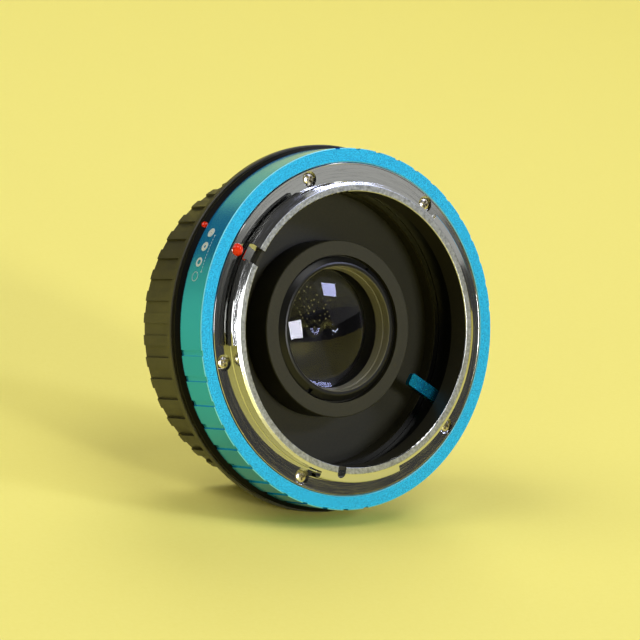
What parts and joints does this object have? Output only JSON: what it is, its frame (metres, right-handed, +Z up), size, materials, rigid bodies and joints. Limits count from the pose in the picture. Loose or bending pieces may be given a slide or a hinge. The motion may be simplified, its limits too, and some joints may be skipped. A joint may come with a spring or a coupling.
{
  "type": "lens mount adapter",
  "caption": "Round lens-to-camera mount adapter with a turning aperture ring, bayonet mounts on both sides, a corrective lens in its throat and a rear cap that twists on.",
  "frame": {"origin": "centre of the camera-side seat plane, on the optical axis", "axes": "+Y along the optical axis towards the camera, -Y towards the lens, +Z up, with the red index bead at the upper left seen from the lens side"},
  "size_m": [0.0658, 0.0263, 0.0658],
  "materials": {
    "blue_anodised": "bead-blasted face, satin side",
    "black_anodised": "satin",
    "chrome": "polished",
    "screw_steel": "nickel plated",
    "red_enamel": "glossy",
    "slip_plastic": "smooth",
    "shim_brass": "rolled",
    "cap_plastic": "fine moulded grain",
    "coated_glass": "anti-reflection coated"
  },
  "bodies": {
    "adapter_body": {"lens_mount": "chrome", "lens_mount_screws": "screw_steel", "lens_index_bead": "red_enamel", "throat_sleeve": "black_anodised", "main_body": "black_anodised", "camera_index_dot": "red_enamel", "front_slip_washer": "slip_plastic", "rear_slip_washer": "slip_plastic", "focus_shim": "shim_brass", "camera_mount": "chrome", "camera_mount_screws": "screw_steel", "optic_housing": "black_anodised", "front_lens": "coated_glass", "lens_spacer": "black_anodised", "rear_lens": "coated_glass", "lens_retainer": "black_anodised"},
    "aperture_ring": {"aperture_ring": "blue_anodised", "aperture_lever": "blue_anodised", "lever_screws": "screw_steel"},
    "rear_cap": {"rear_cap": "cap_plastic"}
  },
  "joints": [
    {"name": "aperture_ring_turn", "type": "hinge", "parent": "adapter_body", "child": "aperture_ring", "pos_m": [0, -0.005, 0], "axis": [0, 1, 0], "range_deg": [0, 18]},
    {"name": "rear_cap_twist", "type": "hinge", "parent": "adapter_body", "child": "rear_cap", "pos_m": [0, 0, 0], "axis": [0, 1, 0], "range_deg": [0, 60]}
  ]
}
